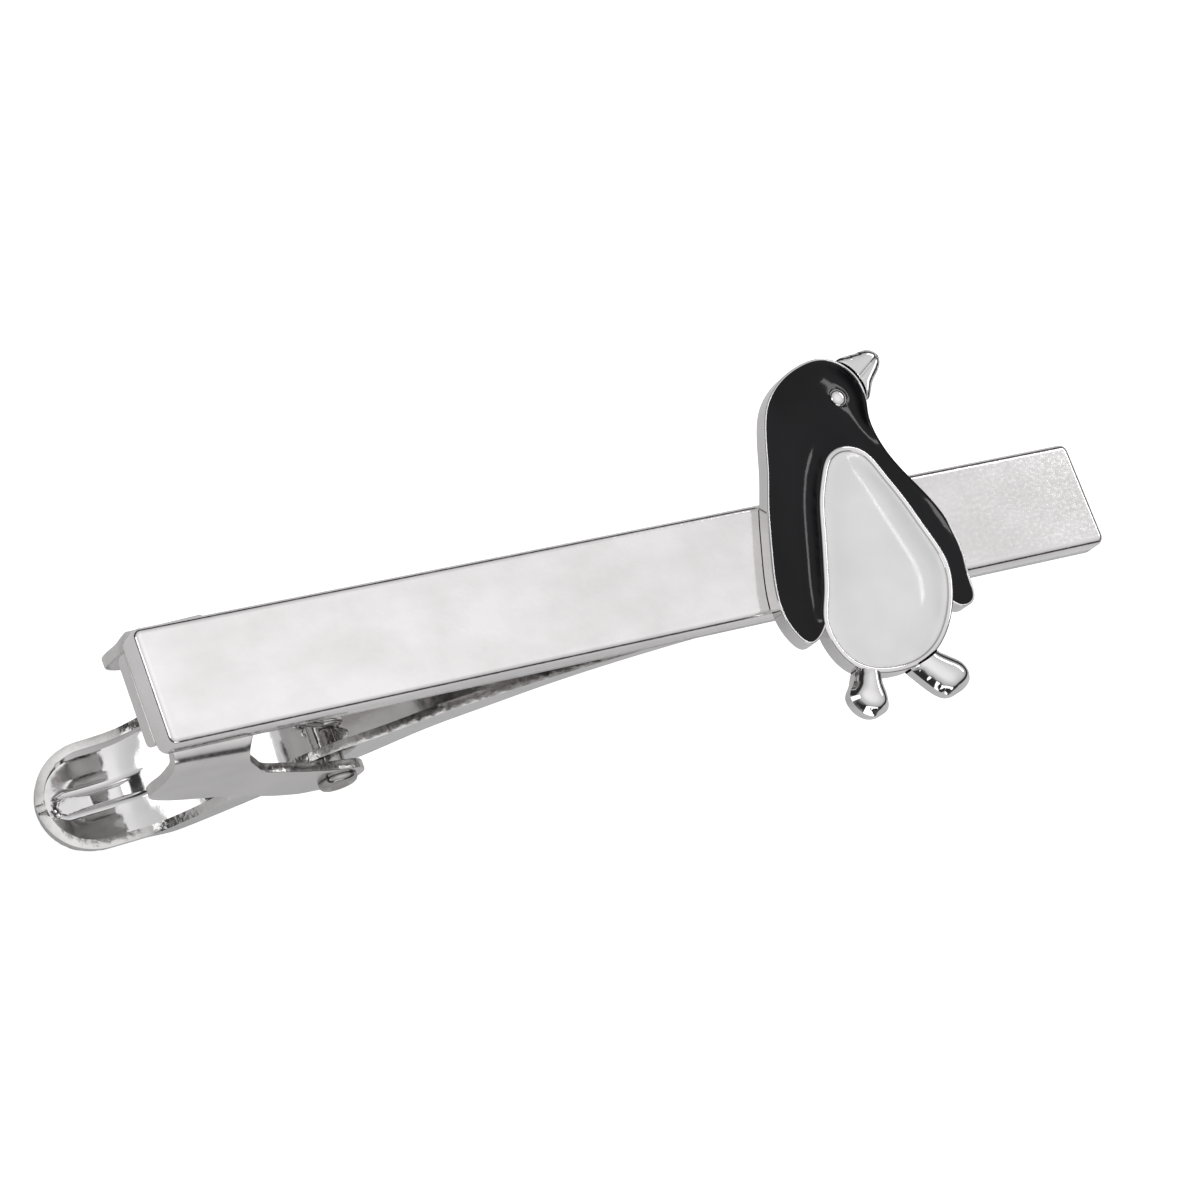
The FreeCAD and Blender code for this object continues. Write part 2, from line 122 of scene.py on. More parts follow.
# lever stations: x, half width, flange edge z, web underside z
LEVER = np.array([
    (-28.9, 3.00, -16.75, -18.10), (-26.0, 3.00, -15.90, -17.65),
    (-24.0, 3.05, -15.20, -17.00), (-22.5, 3.15, -13.80, -16.00),
    (-21.3, 3.22, -11.60, -14.80), (-20.0, 3.30, -9.00, -13.20),
    (-18.5, 3.38, -6.50, -11.40), (-16.8, 3.40, -5.20, -9.90),
    (-14.5, 3.32, -4.40, -8.40), (-12.0, 3.15, -3.60, -6.80),
    (-9.0, 3.02, -2.85, -5.45), (-6.0, 2.90, -2.25, -4.25),
    (-2.0, 2.75, -1.75, -3.15), (2.0, 2.60, -1.40, -2.60),
    (8.0, 2.40, -1.00, -2.10), (14.0, 2.20, -0.60, -1.75),
    (19.0, 2.00, -0.12, -1.35),
])
LEVER_SHEET = 0.5
LEVER_CLEAR = 0.02
THUMB_RADIUS = 3.0
THUMB_CENTRE = -25.9
BOWL_DEPTH = 0.14
TROUGH_START = -27.0
TROUGH_HALF = 0.72
TROUGH_DROP = 0.42
JAW_X = 19.0
# notches in the jaw's flange edges: count, pitch, depth, last one's distance from the tip
NOTCHES, NOTCH_PITCH, NOTCH_DEPTH = 4, 0.8, 0.5
LAST_NOTCH = 0.7
# the dish turns into a channel between these x, whose web curls up with this radius
DISH_ENDS = (-23.9, -22.4)
CURL_RADIUS = 0.7
# shares of the thumb radius where the bowl fades and where the rim starts to rise
BOWL_FADE = (0.35, 0.93)
RIM_RISE = 0.90
TROUGH_SOFT = (0.10, 0.06)
DISH_WALL_LEAN = 0.07


# ---------------------------------------------------------------- curves
TINY = 1e-12
# row pitch of an even triangle grid, and how far its points stay off an outline, as shares of spacing
GRID_ROW = 0.866
GRID_CLEAR = 0.6
CUT_CLEAR = 0.02


def spline_slopes(t, y, periodic):
    """Second derivatives of the cubic spline through y at knots t."""
    n = len(t) - 1 if periodic else len(t)
    a = np.zeros((n, n))
    b = np.zeros(n)
    h = np.diff(t)
    if periodic:
        for i in range(n):
            before, after = h[i - 1], h[i]
            a[i, i - 1] += before
            a[i, i] += 2 * (before + after)
            a[i, (i + 1) % n] += after
            b[i] = 6 * ((y[i + 1] - y[i]) / after - (y[i] - y[i - 1 if i else n - 1]) / before)
        m = np.linalg.solve(a, b)
        return np.append(m, m[0])
    a[0, 0] = a[-1, -1] = 1
    for i in range(1, n - 1):
        a[i, i - 1], a[i, i], a[i, i + 1] = h[i - 1], 2 * (h[i - 1] + h[i]), h[i]
        b[i] = 6 * ((y[i + 1] - y[i]) / h[i] - (y[i] - y[i - 1]) / h[i - 1])
    return np.linalg.solve(a, b)


def spline_at(t, y, m, s):
    """Spline value at s from the knots t, y and second derivatives m."""
    i = np.clip(np.searchsorted(t, s, side="right") - 1, 0, len(t) - 2)
    h = t[i + 1] - t[i]
    p, q = (t[i + 1] - s) / h, (s - t[i]) / h
    return p * y[i] + q * y[i + 1] + ((p**3 - p) * m[i] + (q**3 - q) * m[i + 1]) * h**2 / 6


def closed_curve(points, count):
    """Evenly spaced points on the smooth closed curve through the given points."""
    ring = np.array(list(points) + [points[0]], float)
    t = np.concatenate([[0], np.cumsum(np.linalg.norm(np.diff(ring, axis=0), axis=1))])
    s = np.linspace(0, t[-1], 8 * count, endpoint=False)
    dense = np.stack([spline_at(t, ring[:, k], spline_slopes(t, ring[:, k], True), s)
                      for k in (0, 1)], axis=1)
    loop = np.vstack([dense, dense[:1]])
    run = np.concatenate([[0], np.cumsum(np.linalg.norm(np.diff(loop, axis=0), axis=1))])
    even = np.linspace(0, run[-1], count, endpoint=False)
    result = np.stack([np.interp(even, run, loop[:, k]) for k in (0, 1)], axis=1)
    area = np.sum(result[:, 0] * np.roll(result[:, 1], -1) - result[:, 1] * np.roll(result[:, 0], -1))
    return result if area > 0 else result[::-1].copy()


def open_function(x, y):
    """Smooth function through the given points, held level beyond both ends."""
    x, y = np.array(x, float), np.array(y, float)
    m = spline_slopes(x, y, False)
    return lambda s: spline_at(x, y, m, np.clip(s, x[0], x[-1]))


def inward(loop, distance):
    """Offset a closed anticlockwise loop inward."""
    tangent = np.roll(loop, -1, axis=0) - np.roll(loop, 1, axis=0)
    tangent /= np.linalg.norm(tangent, axis=1)[:, None]
    normal = np.stack([-tangent[:, 1], tangent[:, 0]], axis=1)
    return loop + normal * distance


def inside(loop, points):
    """Which of the points lie inside the closed loop."""
    x, y = points[:, 0][:, None], points[:, 1][:, None]
    a, b = loop, np.roll(loop, -1, axis=0)
    crosses = (a[:, 1] > y) != (b[:, 1] > y)
    drop = np.where(np.abs(b[:, 1] - a[:, 1]) < TINY, TINY, b[:, 1] - a[:, 1])
    at = a[:, 0] + (y - a[:, 1]) * (b[:, 0] - a[:, 0]) / drop
    return np.sum(crosses & (x < at), axis=1) % 2 == 1


def distance_to(loop, points):
    """Distance of each point from the closed loop."""
    a, b = loop, np.roll(loop, -1, axis=0)
    edge = b - a
    length = np.sum(edge**2, axis=1) + TINY
    rel = points[:, None, :] - a[None]
    t = np.clip(np.sum(rel * edge, axis=2) / length, 0, 1)
    return np.sqrt(np.sum((rel - t[..., None] * edge) ** 2, axis=2)).min(axis=1)


def filled(loop, spacing, holes=(), cuts=()):
    """Triangles over the loop, with an inner grid. Returns points, faces, rim distance."""
    low, high = loop.min(axis=0), loop.max(axis=0)
    rows = np.arange(low[1], high[1], spacing * GRID_ROW)
    grid = np.array([(x + (r % 2) * spacing / 2, y) for r, y in enumerate(rows)
                     for x in np.arange(low[0], high[0], spacing)])
    grid = grid[inside(loop, grid)]
    keep = distance_to(loop, grid) > spacing * GRID_CLEAR
    for hole in holes:
        keep &= ~inside(hole, grid) & (distance_to(hole, grid) > spacing * GRID_CLEAR)
    grid = grid[keep]
    for cut in cuts:
        grid = grid[distance_to(cut, grid) > spacing * GRID_CLEAR]
    edges, base, points = [], 0, []
    for ring in [loop] + list(holes):
        n = len(ring)
        edges += [(base + i, base + (i + 1) % n) for i in range(n)]
        base += n
        points.append(ring)
    for cut in cuts:
        within = inside(loop, cut) & (distance_to(loop, cut) > CUT_CLEAR)
        number = base + np.cumsum(within) - 1
        n = len(cut)
        edges += [(int(number[i]), int(number[(i + 1) % n])) for i in range(n)
                  if within[i] and within[(i + 1) % n]]
        points.append(cut[within])
        base += int(within.sum())
    points.append(grid)
    flat = [Vector(p) for p in np.vstack(points)]
    verts, _, faces, _, _, _ = delaunay_2d_cdt(flat, edges, [], 1, 1e-7)
    verts = np.array([(v.x, v.y) for v in verts])
    faces = [list(f) for f in faces]
    centre = np.array([verts[f].mean(axis=0) for f in faces])
    keep = inside(loop, centre)
    for hole in holes:
        keep &= ~inside(hole, centre)
    faces = [f for f, k in zip(faces, keep) if k]
    rim = distance_to(loop, verts)
    for hole in holes:
        rim = np.minimum(rim, distance_to(hole, verts))
    return verts, faces, rim


def relaxed(height, faces, rim, rounds):
    """Smooth a height field, its edge held."""
    pairs = {(min(a, b), max(a, b)) for f in faces for a, b in zip(f, f[1:] + f[:1])}
    pairs = np.array(sorted(pairs))
    count = np.bincount(pairs.ravel(), minlength=len(height)).clip(1)
    free = rim > 1e-4
    for _ in range(rounds):
        total = np.zeros(len(height))
        np.add.at(total, pairs[:, 0], height[pairs[:, 1]])
        np.add.at(total, pairs[:, 1], height[pairs[:, 0]])
        height = np.where(free, 0.5 * height + 0.5 * total / count, height)
    return height


# ---------------------------------------------------------------- meshes
class Shape:
    """Vertices and faces gathered in millimetres."""

    def __init__(self):
        self.verts, self.faces = [], []

    def add(self, verts, faces, flip=False):
        used = sorted({i for f in faces for i in f})
        place = {old: new for new, old in enumerate(used)}
        verts = [verts[i] for i in used]
        faces = [[place[i] for i in f] for f in faces]
        base = len(self.verts)
        self.verts += [tuple(map(float, v)) for v in verts]
        self.faces += [[base + i for i in (reversed(f) if flip else f)] for f in faces]

    def rows(self, rows, closed=True, flip=False, skip=None):
        """Skin between rows of equal length."""
        n = len(rows[0])
        verts = np.vstack(rows)
        faces = []
        for r in range(len(rows) - 1):
            for i in range(n if closed else n - 1):
                if skip is not None and skip[i]:
                    continue
                j = (i + 1) % n
                faces.append([r * n + i, r * n + j, (r + 1) * n + j, (r + 1) * n + i])
        self.add(verts, faces, flip)

    def cap(self, loop, z, spacing=0.5, up=True):
        verts, faces, _ = filled(loop, spacing)
        self.add(np.column_stack([verts, np.full(len(verts), z)]), faces, not up)


def at_height(loop, z):
    return np.column_stack([loop, np.full(len(loop), z)])


def make_mesh(name, shape, body, node, material, bevel=0.0, solid=0.0, angle=40, rim=None):
    """Mesh object from a shape, thickened and bevelled when asked, tied to its body, with the CAD
    node it replaces hidden.
    """
    mesh = bpy.data.meshes.new(name)
    mesh.from_pydata([tuple(c * MM for c in v) for v in shape.verts], [], shape.faces)
    mesh.validate()
    mesh.materials.append(material)
    if rim:
        mesh.materials.append(rim)
    obj = bpy.data.objects.new(name, mesh)
    bpy.context.scene.collection.objects.link(obj)
    weld = obj.modifiers.new("weld", "WELD")
    weld.merge_threshold = 1e-7
    if solid:
        wall = obj.modifiers.new("wall", "SOLIDIFY")
        wall.thickness = solid * MM
        wall.offset = -1
        wall.use_even_offset = False
        wall.material_offset_rim = 1 if rim else 0
    if bevel:
        edge = obj.modifiers.new("edge", "BEVEL")
        edge.width = bevel * MM
        edge.segments = 3
        edge.limit_method = "ANGLE"
        edge.angle_limit = math.radians(50)
    done = bpy.data.meshes.new_from_object(obj.evaluated_get(bpy.context.evaluated_depsgraph_get()))
    obj.modifiers.clear()
    obj.data = done
    done.name = name
    for polygon in done.polygons:
        polygon.use_smooth = True
    with bpy.context.temp_override(object=obj, active_object=obj, selected_objects=[obj],
                                   selected_editable_objects=[obj]):
        bpy.ops.object.shade_smooth_by_angle(angle=math.radians(angle))
    if body:
        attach(obj, body)
    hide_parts(node)
    return obj


# ---------------------------------------------------------------- materials
BROAD_SIZE = 0.35
TONE_SPAN = (0.35, 0.65)
NOISE_SPAN = (0.3, 0.7)
RELIEF_DEPTH = 0.05
PIT_STRENGTH = 0.35


def material(name, base, metallic, rough, rough_span=0.04, bump=0.02, size=6.0, stretch=(1, 1, 1),
             tone=0.05, coat=0.0, ior=1.5, dots=0.0, tint=None):
    """Principled surface with noise in its colour, roughness and relief. size: features per mm."""
    mat = bpy.data.materials.new(name)
    mat.use_nodes = True
    nodes, links = mat.node_tree.nodes, mat.node_tree.links
    shader = nodes["Principled BSDF"]
    shader.inputs["Metallic"].default_value = metallic
    shader.inputs["IOR"].default_value = ior
    shader.inputs["Coat Weight"].default_value = coat
    coords = nodes.new("ShaderNodeTexCoord")
    place = nodes.new("ShaderNodeMapping")
    place.inputs["Scale"].default_value = [s / MM for s in stretch]
    links.new(coords.outputs["Object"], place.inputs["Vector"])
    fine = nodes.new("ShaderNodeTexNoise")
    fine.inputs["Scale"].default_value = size
    fine.inputs["Detail"].default_value = 4
    broad = nodes.new("ShaderNodeTexNoise")
    broad.inputs["Scale"].default_value = BROAD_SIZE
    broad.inputs["Detail"].default_value = 3
    for texture in (fine, broad):
        links.new(place.outputs["Vector"], texture.inputs["Vector"])
    ramp = nodes.new("ShaderNodeValToRGB")
    dark = [c * (1 - tone) for c in base]
    light = [min(1, c * (1 + tone)) for c in (tint or base)]
    ramp.color_ramp.elements[0].position = TONE_SPAN[0]
    ramp.color_ramp.elements[1].position = TONE_SPAN[1]
    ramp.color_ramp.elements[0].color = dark + [1]
    ramp.color_ramp.elements[1].color = light + [1]
    links.new(broad.outputs["Fac"], ramp.inputs["Fac"])
    links.new(ramp.outputs["Color"], shader.inputs["Base Color"])
    spread = nodes.new("ShaderNodeMapRange")
    spread.inputs["From Min"].default_value = NOISE_SPAN[0]
    spread.inputs["From Max"].default_value = NOISE_SPAN[1]
    spread.inputs["To Min"].default_value = max(0.01, rough - rough_span)
    spread.inputs["To Max"].default_value = rough + rough_span
    links.new(fine.outputs["Fac"], spread.inputs["Value"])
    links.new(spread.outputs["Result"], shader.inputs["Roughness"])
    relief = nodes.new("ShaderNodeBump")
    relief.inputs["Strength"].default_value = bump
    relief.inputs["Distance"].default_value = RELIEF_DEPTH * MM
    links.new(fine.outputs["Fac"], relief.inputs["Height"])
    if dots:
        pits = nodes.new("ShaderNodeTexVoronoi")
        pits.inputs["Scale"].default_value = dots
        links.new(place.outputs["Vector"], pits.inputs["Vector"])
        second = nodes.new("ShaderNodeBump")
        second.inputs["Strength"].default_value = PIT_STRENGTH
        second.inputs["Distance"].default_value = RELIEF_DEPTH * MM
        links.new(pits.outputs["Distance"], second.inputs["Height"])
        links.new(relief.outputs["Normal"], second.inputs["Normal"])
        relief = second
    links.new(relief.outputs["Normal"], shader.inputs["Normal"])
    return mat


BAR_METAL = material("bar_metal", [0.735, 0.712, 0.71], metallic=1, rough=0.13, rough_span=0.05,
                     bump=0.10, size=5.0, stretch=(0.7, 1.0, 1.0), tone=0.03,
                     tint=[0.775, 0.752, 0.752])
BRACKET_METAL = material("bracket_metal", [0.66, 0.645, 0.64], metallic=1, rough=0.18,
                         rough_span=0.04, bump=0.06, size=3.0, tone=0.06)
CHROME = material("chrome", [0.68, 0.67, 0.665], metallic=1, rough=0.05, rough_span=0.02,
                  bump=0.03, size=1.6, tone=0.03)
LEVER_METAL = material("lever_metal", [0.68, 0.67, 0.67], metallic=1, rough=0.07,
                       rough_span=0.03, bump=0.06, size=2.2, tone=0.05)
CUT_EDGE = material("cut_edge", [0.58, 0.57, 0.56], metallic=1, rough=0.16, rough_span=0.06,
                    bump=0.4, size=4.0, tone=0.15, dots=2.0)
RIVET_METAL = material("rivet_metal", [0.40, 0.385, 0.375], metallic=1, rough=0.12,
                       rough_span=0.05, bump=0.35, size=2.0, tone=0.12, dots=2.0)
SPRING_METAL = material("spring_metal", [0.60, 0.58, 0.57], metallic=1, rough=0.20,
                        rough_span=0.06, bump=0.20, size=7.0, stretch=(1, 0.2, 1), tone=0.08)
SOLDER_METAL = material("solder_metal", [0.55, 0.50, 0.38], metallic=0.9, rough=0.45,
                        rough_span=0.10, bump=0.5, size=4.0, tone=0.15)
BLACK = material("black_fill", [0.005, 0.005, 0.006], metallic=0, rough=0.07, rough_span=0.03,
                 bump=0.06, size=1.5, stretch=(1, 0.3, 1), tone=0.3, ior=1.25)
WHITE = material("white_fill", [0.76, 0.755, 0.75], metallic=0, rough=0.12, rough_span=0.04,
                 bump=0.03, size=1.5, tone=0.03, coat=0.05, ior=1.38)


# ---------------------------------------------------------------- front bar
def rounded_rectangle(half_x, half_y, radius, arc=8):
    loop = []
    for corner, (sx, sy) in enumerate([(1, 1), (-1, 1), (-1, -1), (1, -1)]):
        cx, cy = sx * (half_x - radius), sy * (half_y - radius)
        for k in range(arc + 1):
            a = math.pi / 2 * (corner + k / arc)
            loop.append((cx + radius * math.cos(a), cy + radius * math.sin(a)))
    return np.array(loop)


BAR_BACK_EDGE = 0.12
BAR_BACK_MIDDLE = (0.035, 0.03)
SMALLEST_CORNER = 0.05


def bar_shape():
    """Slab with a rounded front edge and a small break along the back edge."""
    shape = Shape()
    rows = []
    profile = [(BAR_BACK_EDGE, 0.0), BAR_BACK_MIDDLE, (0.0, BAR_BACK_EDGE), (0.0, BAR_TOP - BAR_EDGE)]
    profile += [(BAR_EDGE * (1 - math.cos(a)), BAR_TOP - BAR_EDGE * (1 - math.sin(a)))
                for a in np.linspace(0, math.pi / 2, 10)[1:]]
    for off, z in profile:
        radius = max(BAR_CORNER - off, SMALLEST_CORNER)
        loop = rounded_rectangle(BAR_HALF_X - off, BAR_HALF_Y - off, radius)
        rows.append(at_height(loop, z))
    shape.rows(rows)
    n = len(rows[0])
    shape.add(rows[-1], [list(range(n))])
    shape.add(rows[0], [list(range(n))], True)
    return shape


make_mesh("bar_slab", bar_shape(), "bar", "front_bar", BAR_METAL, angle=30)

# ---------------------------------------------------------------- hinge bracket
BASE_HALF = 2.55
BEND = 1.2
BEND_LENGTH = BEND * math.pi / 2
FLARE = open_function([-30.5, -29.0, -26.0, -23.0, -20.5, -18.5, -16.5, -14.0],
                      [0.0, 0.02, 0.15, 0.33, 0.52, 0.54, 0.54, 0.54])
TOP_Z = -SOLDER
# how far beyond the bend the wing's flare still grows, and the outline's point spacing
FLARE_RUN = 0.8
OUTLINE_STEP = 0.22
SHEET_GRID = 0.3
# turned-down lip at the left end: half width, height, corner radius, x of both faces
LIP_HALF, LIP_HEIGHT, LIP_CORNER = 2.4, 0.95, 0.4
LIP_X = (-29.99, -29.4)


def bracket_half():
    """Half outline of the flat sheet before bending, as x and distance from the centre line."""
    def depth(z):
        return BASE_HALF + BEND_LENGTH + (TOP_Z - BEND - z)
    left = [(-29.4, 0.0), (-29.4, 1.3), (-29.35, 2.2), (-29.15, 3.1), (-29.05, 4.2)]
    left += [(x, depth(z)) for x, z in [
        (-28.95, -1.9), (-28.8, -3.0), (-28.95, -4.0), (-28.85, -4.9), (-28.35, -5.5),
        (-27.1, -6.15), (-26.0, -6.45), (-23.95, -6.95), (-21.75, -7.65), (-19.95, -8.4),
        (-18.4, -9.05)]]
    ear = [(PIVOT[0] + EAR_RADIUS * math.cos(a), depth(PIVOT[1] + EAR_RADIUS * math.sin(a)))
           for a in np.radians(np.linspace(-105, 100, 16))]
    right = [(x, depth(z)) for x, z in [
        (-18.3, -5.55), (-19.95, -4.75), (-21.4, -4.15), (-22.45, -3.92), (-22.95, -3.65),
        (-23.4, -3.0), (-24.1, -2.1), (-24.6, -1.5)]]
    right += [(-24.9, 3.7), (-24.6, 2.8), (-23.4, 2.5), (-22.65, 2.35), (-22.6, 1.2), (-22.6, 0.0)]
    return left, ear, right


def bracket_shape():
    """Flat sheet outline, filled and bent down into two flared wings."""
    left, ear, right = bracket_half()
    half = left + ear + right
    other = [(x, -s) for x, s in half[1:-1][::-1]]
    ring = half + other
    dense = []
    for i, (x, s) in enumerate(ring):
        nx, ns = ring[(i + 1) % len(ring)]
        steps = max(1, int(math.hypot(nx - x, ns - s) / OUTLINE_STEP))
        dense += [(x + (nx - x) * k / steps, s + (ns - s) * k / steps) for k in range(steps)]
    loop = np.array(dense)
    for _ in range(3):
        loop = 0.5 * loop + 0.25 * (np.roll(loop, 1, axis=0) + np.roll(loop, -1, axis=0))
    area = np.sum(loop[:, 0] * np.roll(loop[:, 1], -1) - loop[:, 1] * np.roll(loop[:, 0], -1))
    if area < 0:
        loop = loop[::-1].copy()
    verts, faces, _ = filled(loop, SHEET_GRID)
    placed = []
    for x, s in verts:
        side, run = (1, s) if s >= 0 else (-1, -s)
        if run < BASE_HALF:
            y, z = run, TOP_Z
        elif run < BASE_HALF + BEND_LENGTH:
            a = (run - BASE_HALF) / BEND
            y, z = BASE_HALF + BEND * math.sin(a), TOP_Z - BEND * (1 - math.cos(a))
        else:
            y, z = BASE_HALF + BEND, TOP_Z - BEND - (run - BASE_HALF - BEND_LENGTH)
        share = min(1.0, max(0.0, (run - BASE_HALF) / (BEND_LENGTH + FLARE_RUN)))
        y += float(FLARE(x)) * share * share * (3 - 2 * share)
        placed.append((x, side * y, z))
    shape = Shape()
    shape.add(placed, faces)
    return shape


make_mesh("bracket_plate", bracket_shape(), "bar", "hinge_bracket",
          BRACKET_METAL, bevel=0.06, solid=SHEET, angle=35, rim=CUT_EDGE)


def lip_shape():
    """Turned-down lip at the left end, its lower corners rounded."""
    turns = np.linspace(0, math.pi / 2, 7)
    low = TOP_Z - LIP_HEIGHT + LIP_CORNER
    inner = LIP_HALF - LIP_CORNER
    loop = [(-LIP_HALF, TOP_Z), (LIP_HALF, TOP_Z)]
    loop += [(inner + LIP_CORNER * math.cos(a), low - LIP_CORNER * math.sin(a)) for a in turns]
    loop += [(-inner - LIP_CORNER * math.sin(a), low - LIP_CORNER * math.cos(a)) for a in turns]
    shape = Shape()
    rows = [np.array([(x, y, z) for y, z in loop]) for x in LIP_X]
    shape.rows(rows)
    n = len(loop)
    shape.add(rows[0], [list(range(n))], True)
    shape.add(rows[1], [list(range(n))])
    return shape


make_mesh("bracket_lip", lip_shape(), "bar", "hinge_bracket",
          BRACKET_METAL, bevel=0.08)

# ---------------------------------------------------------------- rivet
RIVET_SIDES = 48
# the tumbled head is slightly out of round beyond this radius
WOBBLE_FROM = 0.8
WOBBLE_FIT = 1.02


def rivet_shape():
    """Shank with a dished head at each ear, turned round the pivot."""
    grip, top = EAR_Y + 0.02, EAR_Y + HEAD_THICK
    profile = [(0.0, top - 0.13), (0.30, top - 0.12), (0.44, top - 0.07), (0.53, top - 0.01),
               (0.64, top), (0.82, top - 0.02), (0.96, top - 0.09), (1.05, top - 0.20),
               (HEAD_RADIUS, top - 0.32), (1.06, grip), (RIVET_RADIUS, grip)]
    profile += [(r, -y) for r, y in profile[::-1]]
    shape = Shape()
    rows = []
    for r, y in profile:
        ring = []
        for k in range(RIVET_SIDES):
            a = 2 * math.pi * k / RIVET_SIDES
            wobble = 1
            if r > WOBBLE_FROM:
                wobble = 1 + 0.014 * math.sin(3 * a + 0.7) + 0.008 * math.sin(5 * a)
            ring.append((PIVOT[0] + r * wobble * math.cos(a) / WOBBLE_FIT, y,
                         PIVOT[1] + r * wobble * math.sin(a) / WOBBLE_FIT))
        rows.append(np.array(ring))
    shape.rows(rows)
    return shape


make_mesh("rivet_pin", rivet_shape(), "bar", "pivot_rivet", RIVET_METAL, angle=50)

# ---------------------------------------------------------------- lever
half_width = open_function(LEVER[:, 0], LEVER[:, 1])
edge_z = open_function(LEVER[:, 0], LEVER[:, 2])
web_z = open_function(LEVER[:, 0], LEVER[:, 3])


def smooth_step(a, b, x):
    """Rises smoothly from 0 at a to 1 at b."""
    t = np.clip((x - a) / (b - a), 0, 1)
    return t * t * (3 - 2 * t)


def rim_height(x):
    """Flange edge height with the jaw's teeth cut in it."""
    z = float(edge_z(x))
    last = JAW_X - LAST_NOTCH + NOTCH_PITCH / 2
    first = last - NOTCHES * NOTCH_PITCH
    if first < x < last:
        phase = (x - first) / NOTCH_PITCH % 1.0
        z -= NOTCH_DEPTH * (1 - abs(2 * phase - 1))
    return z


def lever_half(x):
    """Half width of the lever at x, round at the thumb end."""
    if x >= THUMB_CENTRE:
        return float(half_width(x)) - LEVER_CLEAR
    off = THUMB_CENTRE - x
    return math.sqrt(max((THUMB_RADIUS - LEVER_CLEAR) ** 2 - off ** 2, 0.0))


def dish_floor(x, y):
    """Drop of the thumb dish below the web: a shallow bowl round a crisp trough."""
    out = math.hypot(max(0.0, THUMB_CENTRE - x), y) / THUMB_RADIUS
    bowl = BOWL_DEPTH * (1 - float(smooth_step(*BOWL_FADE, out)))
    side = math.hypot(max(0.0, TROUGH_START - x), y)
    edge = (TROUGH_HALF - TROUGH_SOFT[0], TROUGH_HALF + TROUGH_SOFT[1])
    return bowl + TROUGH_DROP * (1 - float(smooth_step(*edge, side)))


def lever_rows():
    """Cross sections from the thumb end to the jaw, each from one flange edge to the other."""
    tip = THUMB_CENTRE - THUMB_RADIUS + LEVER_CLEAR
    round_end = [THUMB_CENTRE + (tip - THUMB_CENTRE) * math.cos(a)
                 for a in np.linspace(0.10, math.pi / 2, 30)]
    stations = np.concatenate([round_end, np.arange(THUMB_CENTRE + 0.15, -10, 0.15),
                               np.arange(-10, 15.4, 0.5), np.arange(15.4, JAW_X, 0.1),
                               [JAW_X - 0.02]])
    shares = np.concatenate([np.linspace(0, 0.20, 7), np.linspace(0.215, 0.285, 8),
                             np.linspace(0.31, 0.93, 16)])
    shares = np.concatenate([-shares[:0:-1], shares])
    lowest = cad_bounds[0][2] / MM + LEVER_CLEAR
    rows = []
    for x in stations:
        half = lever_half(x)
        dish = 1 - float(smooth_step(*DISH_ENDS, x))
        high = rim_height(x)
        inner = []
        for share in shares:
            y = half * share
            curl = max(0.0, abs(y) - (half - CURL_RADIUS))
            bend = CURL_RADIUS - math.sqrt(CURL_RADIUS ** 2 - min(curl, CURL_RADIUS - 0.01) ** 2)
            z = float(web_z(x)) + LEVER_CLEAR - dish * dish_floor(x, y) + (1 - dish) * bend
            if x < THUMB_CENTRE:
                out = math.hypot(THUMB_CENTRE - x, y) / THUMB_RADIUS
                z += float(smooth_step(RIM_RISE, 1.0, out)) * (high - LEVER_SHEET - z)
            inner.append((x, y, max(z, lowest)))
        sides = []
        for lift in (0.12, 0.3, 0.5, 0.7, 0.85, 1.0):
            share = 1 - dish * DISH_WALL_LEAN * (1 - lift)
            low = inner[-1][2]
            wall = low + (high - low) * lift
            lip = low + (high - LEVER_SHEET - low) * lift
            sides.append((x, half * share, wall + dish * (lip - wall)))
        rows.append([(x, -y, z) for x, y, z in sides[::-1]] + inner + sides)
    return rows


def lever_shape():
    shape = Shape()
    shape.rows([np.array(row) for row in lever_rows()], closed=False)
    return shape


make_mesh("lever_channel", lever_shape(), "lever", "clip_lever", LEVER_METAL,
          bevel=0.05, solid=LEVER_SHEET, angle=40, rim=CUT_EDGE)


# ---------------------------------------------------------------- spring
WIRE_RADIUS = 0.21
COIL_RADIUS, COIL_TURNS, COIL_PITCH = 1.06, 4, 0.52
# the legs leave the coil this far beyond its ends, over this arc in degrees
LEG_OFFSET = 2.15 * 0.22
LEG_ARC = (12, 112)
POINTS_PER_TURN = 24
FIXED_LEG_END = (-25.3, -0.93)
MOVING_LEG_END = (-21.5, -12.0)


def tube(points, radius, sides=14):
    """Round wire along the points."""
    points = [Vector(p) for p in points]
    shape = Shape()
    rows = []
    guide = Vector((0.1, 0.2, 1.0))
    for i, p in enumerate(points):
        t = (points[min(i + 1, len(points) - 1)] - points[max(i - 1, 0)]).normalized()
        side = (guide - t * guide.dot(t)).normalized()
        guide = side
        up = t.cross(side)
        rows.append(np.array([tuple(p + radius * (math.cos(a) * side + math.sin(a) * up))
                              for a in 2 * math.pi * np.arange(sides) / sides]))
    shape.rows(rows)
    shape.add(rows[0], [list(range(sides))], True)
    shape.add(rows[-1], [list(range(sides))])
    return shape


def spring_leg(side, end):
    """Arc off the coil and a straight run to the leg's end."""
    y = side * (COIL_TURNS * COIL_PITCH / 2 + LEG_OFFSET)
    turn = 1 if end[1] > PIVOT[1] else -1
    arc = [(PIVOT[0] + COIL_RADIUS * math.cos(a), y, PIVOT[1] + COIL_RADIUS * math.sin(a))
           for a in np.radians(np.linspace(*LEG_ARC, 14)) * turn]
    lead = np.array(arc[-1])
    tip = np.array([end[0], y, end[1]])
    return arc + [tuple(lead + (tip - lead) * k / POINTS_PER_TURN)
                  for k in range(1, POINTS_PER_TURN + 1)]


